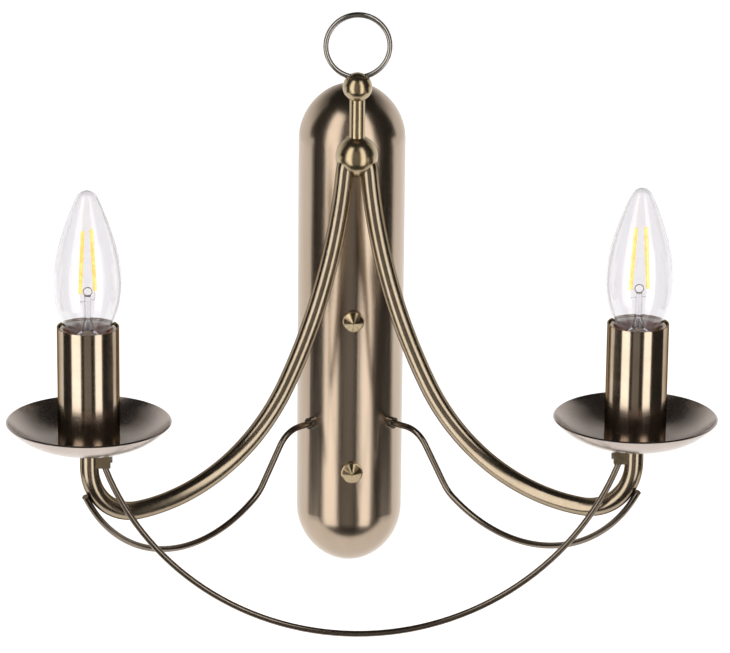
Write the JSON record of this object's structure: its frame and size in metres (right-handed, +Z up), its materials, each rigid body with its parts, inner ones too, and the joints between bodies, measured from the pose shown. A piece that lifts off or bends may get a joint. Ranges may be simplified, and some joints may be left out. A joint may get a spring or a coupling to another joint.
{
  "type": "double arm wall sconce",
  "caption": "Wall sconce with a tall half-round cover, two curved tube arms with candle lamps over drip pans, rod stays, a swag wire and a ring finial.",
  "frame": {"origin": "centre of the two wall screw slots of the bracket, on the wall plane", "axes": "+Z up along the wall, +X to the right of somebody who faces the wall, -Y out of the wall into the room"},
  "size_m": [0.362, 0.173, 0.315],
  "materials": {
    "antique_brass": "satin",
    "bronze_wire": "satin",
    "zinc_steel": "satin",
    "plain_brass": "satin",
    "white_plastic": "matte",
    "black_plastic": "satin",
    "black_glass": "gloss",
    "solder": "satin",
    "clear_glass": "gloss",
    "filament": "matte",
    "brown_insulation": "matte",
    "blue_insulation": "matte"
  },
  "bodies": {
    "body": {"arm_left": "antique_brass", "arm_nipple_left": "zinc_steel", "arm_nipple_right": "zinc_steel", "arm_right": "antique_brass", "bracket_studs": "zinc_steel", "canopy": "antique_brass", "cap_nuts": "antique_brass", "centre_contact_left": "plain_brass", "centre_contact_right": "plain_brass", "drip_pan_left": "antique_brass", "drip_pan_right": "antique_brass", "earth_screw": "plain_brass", "earth_washer": "zinc_steel", "finial_ball": "antique_brass", "grub_screws": "zinc_steel", "holder_nut_left": "zinc_steel", "holder_nut_right": "zinc_steel", "holder_terminal_screws": "zinc_steel", "hub_ball": "antique_brass", "hub_nipple": "zinc_steel", "hub_nut": "zinc_steel", "hub_spacer": "antique_brass", "hub_washer": "zinc_steel", "lampholder_left": "black_plastic", "lampholder_right": "black_plastic", "lead_live_left": "brown_insulation", "lead_live_right": "brown_insulation", "lead_neutral_left": "blue_insulation", "lead_neutral_right": "blue_insulation", "ring": "antique_brass", "screw_shell_left": "plain_brass", "screw_shell_right": "plain_brass", "stay_collars": "antique_brass", "stay_left": "bronze_wire", "stay_nuts": "zinc_steel", "stay_right": "bronze_wire", "stem": "antique_brass", "swag_block_left": "antique_brass", "swag_block_right": "antique_brass", "swag_wire": "bronze_wire", "terminal_block": "white_plastic", "terminal_block_screw": "zinc_steel", "terminal_inserts": "plain_brass", "terminal_screws": "zinc_steel", "wall_bracket": "zinc_steel"},
    "candle_sleeve_left": {"candle_sleeve_left": "antique_brass"},
    "bulb_lift_left": {"bulb_contact_left": "solder"},
    "bulb_left": {"bulb_cap_left": "plain_brass", "bulb_insulator_left": "black_glass", "bulb_glass_left": "clear_glass", "bulb_mount_left": "clear_glass", "bulb_filaments_left": "filament"},
    "candle_sleeve_right": {"candle_sleeve_right": "antique_brass"},
    "bulb_lift_right": {"bulb_contact_right": "solder"},
    "bulb_right": {"bulb_cap_right": "plain_brass", "bulb_insulator_right": "black_glass", "bulb_glass_right": "clear_glass", "bulb_mount_right": "clear_glass", "bulb_filaments_right": "filament"}
  },
  "joints": [
    {"name": "candle_sleeve_lift_left", "type": "slide", "parent": "body", "child": "candle_sleeve_left", "axis": [0, 0, 1], "range_m": [0, 0.004]},
    {"name": "bulb_rise_left", "type": "slide", "parent": "body", "child": "bulb_lift_left", "axis": [0, 0, 1], "range_m": [0, 0.01269]},
    {"name": "bulb_turn_left", "type": "hinge", "parent": "bulb_lift_left", "child": "bulb_left", "pos_m": [-0.139, -0.131, 0.04], "axis": [0, 0, 1], "range_deg": [0, 1620]},
    {"name": "candle_sleeve_lift_right", "type": "slide", "parent": "body", "child": "candle_sleeve_right", "axis": [0, 0, 1], "range_m": [0, 0.004]},
    {"name": "bulb_rise_right", "type": "slide", "parent": "body", "child": "bulb_lift_right", "axis": [0, 0, 1], "range_m": [0, 0.01269]},
    {"name": "bulb_turn_right", "type": "hinge", "parent": "bulb_lift_right", "child": "bulb_right", "pos_m": [0.139, -0.131, 0.04], "axis": [0, 0, 1], "range_deg": [0, 1620]}
  ],
  "couplings": [
    {"joint": "bulb_rise_left", "follows": "bulb_turn_left", "m_per_rad": 0.00044882},
    {"joint": "bulb_rise_right", "follows": "bulb_turn_right", "m_per_rad": 0.00044882}
  ]
}
